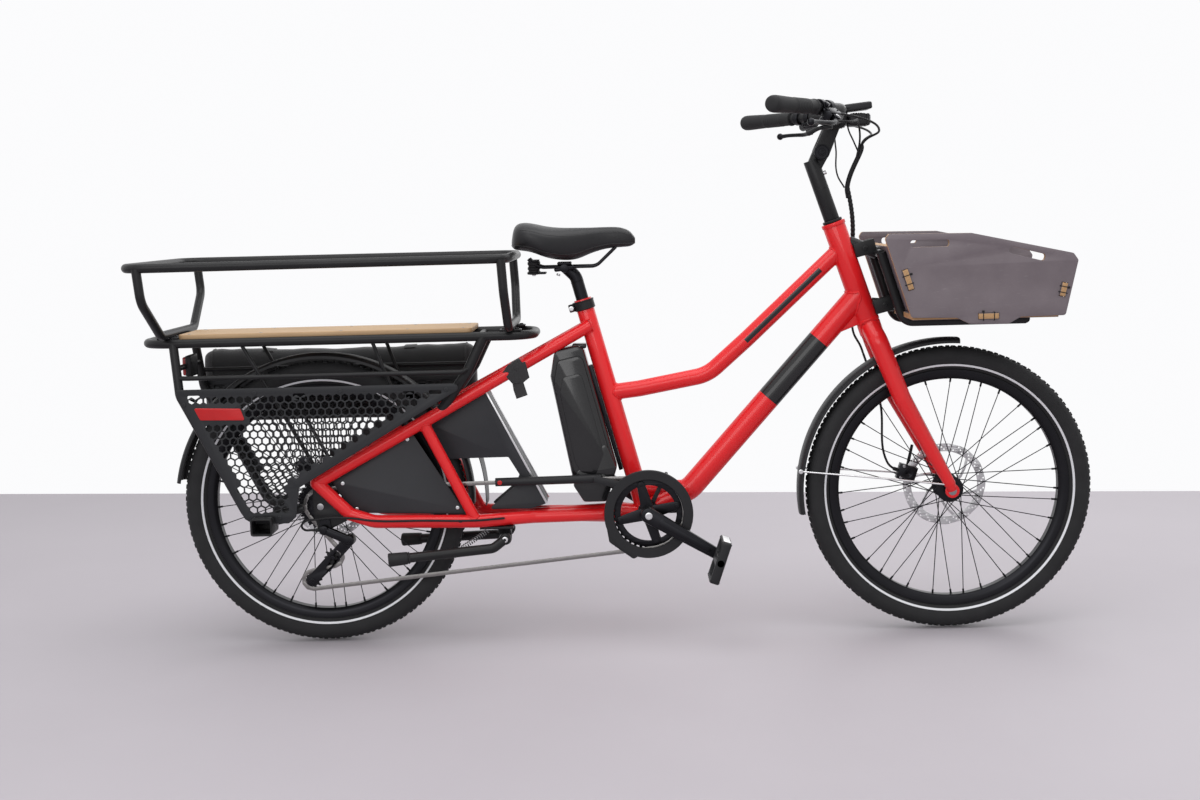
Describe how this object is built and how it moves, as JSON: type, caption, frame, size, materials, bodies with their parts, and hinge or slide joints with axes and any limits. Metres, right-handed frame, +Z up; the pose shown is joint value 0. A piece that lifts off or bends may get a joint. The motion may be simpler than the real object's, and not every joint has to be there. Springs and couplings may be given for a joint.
{
  "type": "longtail cargo bike",
  "caption": "Electric longtail cargo bicycle with a low red frame, small plywood front box, rear deck with a passenger hoop and mesh side guards.",
  "frame": {"origin": "on the ground, under the middle of the bicycle's length and width", "axes": "+X forwards, +Y to the rider's left, +Z up"},
  "size_m": [2.0164, 0.709, 1.1334],
  "materials": {
    "red_paint": "satin",
    "black_paint": "satin",
    "black_alloy": "satin",
    "bare_alloy": "satin",
    "dark_steel": "satin",
    "tyre": "matte",
    "rubber": "matte",
    "black_plastic": "matte",
    "red_lens": "gloss",
    "deck_wood": "satin",
    "plywood": "satin",
    "bag_cloth": "matte",
    "saddle_cover": "matte"
  },
  "bodies": {
    "chassis": {"frame": "red_paint", "bottom_bracket": "black_alloy", "battery": "black_plastic", "battery_rail": "black_alloy", "rack_frame": "black_paint", "deck_board": "deck_wood", "passenger_hoop": "black_paint", "side_guard_right": "black_paint", "side_guard_left": "black_paint", "rear_fender": "black_plastic", "rear_light": "red_lens", "rear_plate_right": "black_plastic", "rear_plate_left": "black_plastic", "wheel_shield": "black_plastic", "chain_guard": "black_alloy", "chain_tube": "black_plastic", "chain": "dark_steel", "derailleur": "dark_steel", "carrier_frame": "black_paint", "box_back": "plywood", "box_front": "plywood", "box_floor": "plywood", "box_side_right": "plywood", "box_side_left": "plywood", "seat_clamp": "black_paint", "stand_bracket": "black_paint", "pannier_bag": "bag_cloth", "rear_caliper": "black_alloy", "stay_strap": "bag_cloth", "cable_bundle": "rubber", "shift_cable": "rubber"},
    "steering": {"fork": "red_paint", "front_fender": "black_plastic", "front_caliper": "black_alloy", "stem_tube": "black_paint", "front_brake_hose": "rubber"},
    "bars": {"stem_arm": "black_paint", "handlebar": "black_paint", "grip_left": "rubber", "grip_right": "rubber", "display": "black_plastic", "headlamp": "black_plastic", "brake_mount_left": "black_alloy", "brake_mount_right": "black_alloy"},
    "left_lever": {"brake_lever_left": "bare_alloy"},
    "right_lever": {"brake_lever_right": "bare_alloy"},
    "shifter": {"shift_lever": "black_plastic"},
    "front_wheel_set": {"front_tyre": "tyre", "front_wheel": "black_alloy"},
    "rear_wheel_set": {"rear_tyre": "tyre", "rear_wheel": "black_alloy"},
    "sprockets": {"cassette": "dark_steel"},
    "cranks": {"crankset": "black_alloy"},
    "right_pedal": {"pedal_right": "black_plastic"},
    "left_pedal": {"pedal_left": "black_plastic"},
    "upper_jockey": {"upper_jockey_wheel": "black_plastic"},
    "lower_jockey": {"lower_jockey_wheel": "black_plastic"},
    "stand": {"kickstand": "black_paint"},
    "seat": {"seatpost": "black_alloy", "saddle": "saddle_cover"}
  },
  "joints": [
    {"name": "steering_turn", "type": "hinge", "parent": "chassis", "child": "steering", "pos_m": [0.53047, 0, 0.67017], "axis": [-0.3239, 0, 0.9461], "range_deg": [-60, 60], "deforming": ["cable_bundle"]},
    {"name": "stem_tilt", "type": "hinge", "parent": "steering", "child": "bars", "pos_m": [0.43378, 0, 1.031], "axis": [0, 1, 0], "range_deg": [-30, 30], "deforming": ["cable_bundle"]},
    {"name": "left_lever_pull", "type": "hinge", "parent": "bars", "child": "left_lever", "pos_m": [0.43713, 0.2082, 1.08937], "axis": [0.4981, 0.3619, 0.788], "range_deg": [0, 14], "stiffness_Nm_per_rad": 2, "springref_deg": -11.46},
    {"name": "right_lever_pull", "type": "hinge", "parent": "bars", "child": "right_lever", "pos_m": [0.43713, -0.2082, 1.08937], "axis": [-0.4981, 0.3619, -0.788], "range_deg": [0, 14], "stiffness_Nm_per_rad": 2, "springref_deg": -11.46},
    {"name": "shifter_push", "type": "hinge", "parent": "bars", "child": "shifter", "pos_m": [0.42808, -0.16702, 1.075], "axis": [0, 0, 1], "range_deg": [0, 20], "stiffness_Nm_per_rad": 0.5, "springref_deg": -17.19},
    {"name": "front_wheel_spin", "type": "hinge", "parent": "steering", "child": "front_wheel_set", "pos_m": [0.69975, 0, 0.3085], "axis": [0, 1, 0], "continuous": true},
    {"name": "rear_wheel_spin", "type": "hinge", "parent": "chassis", "child": "rear_wheel_set", "pos_m": [-0.64825, 0, 0.3085], "axis": [0, 1, 0], "continuous": true},
    {"name": "sprocket_spin", "type": "hinge", "parent": "chassis", "child": "sprockets", "pos_m": [-0.64825, -0.047, 0.3085], "axis": [0, 1, 0], "continuous": true},
    {"name": "crank_spin", "type": "hinge", "parent": "chassis", "child": "cranks", "pos_m": [0.05175, 0, 0.276], "axis": [0, 1, 0], "continuous": true},
    {"name": "right_pedal_spin", "type": "hinge", "parent": "cranks", "child": "right_pedal", "pos_m": [0.19747, -0.138, 0.18844], "axis": [0, 1, 0], "continuous": true},
    {"name": "left_pedal_spin", "type": "hinge", "parent": "cranks", "child": "left_pedal", "pos_m": [-0.09397, 0.138, 0.36356], "axis": [0, 1, 0], "continuous": true},
    {"name": "upper_jockey_spin", "type": "hinge", "parent": "chassis", "child": "upper_jockey", "pos_m": [-0.62825, -0.054, 0.195], "axis": [0, 1, 0], "continuous": true},
    {"name": "lower_jockey_spin", "type": "hinge", "parent": "chassis", "child": "lower_jockey", "pos_m": [-0.67525, -0.054, 0.146], "axis": [0, 1, 0], "continuous": true},
    {"name": "stand_swing", "type": "hinge", "parent": "chassis", "child": "stand", "pos_m": [-0.25625, 0, 0.228], "axis": [0, -1, 0], "range_deg": [0, 100]},
    {"name": "saddle_height", "type": "slide", "parent": "chassis", "child": "seat", "axis": [-0.2571, 0, 0.9664], "range_m": [-0.01, 0.12]}
  ],
  "couplings": [
    {"joint": "sprocket_spin", "follows": "crank_spin", "ratio": 2.1667},
    {"joint": "upper_jockey_spin", "follows": "crank_spin", "ratio": -3.9},
    {"joint": "lower_jockey_spin", "follows": "crank_spin", "ratio": 3.9}
  ]
}
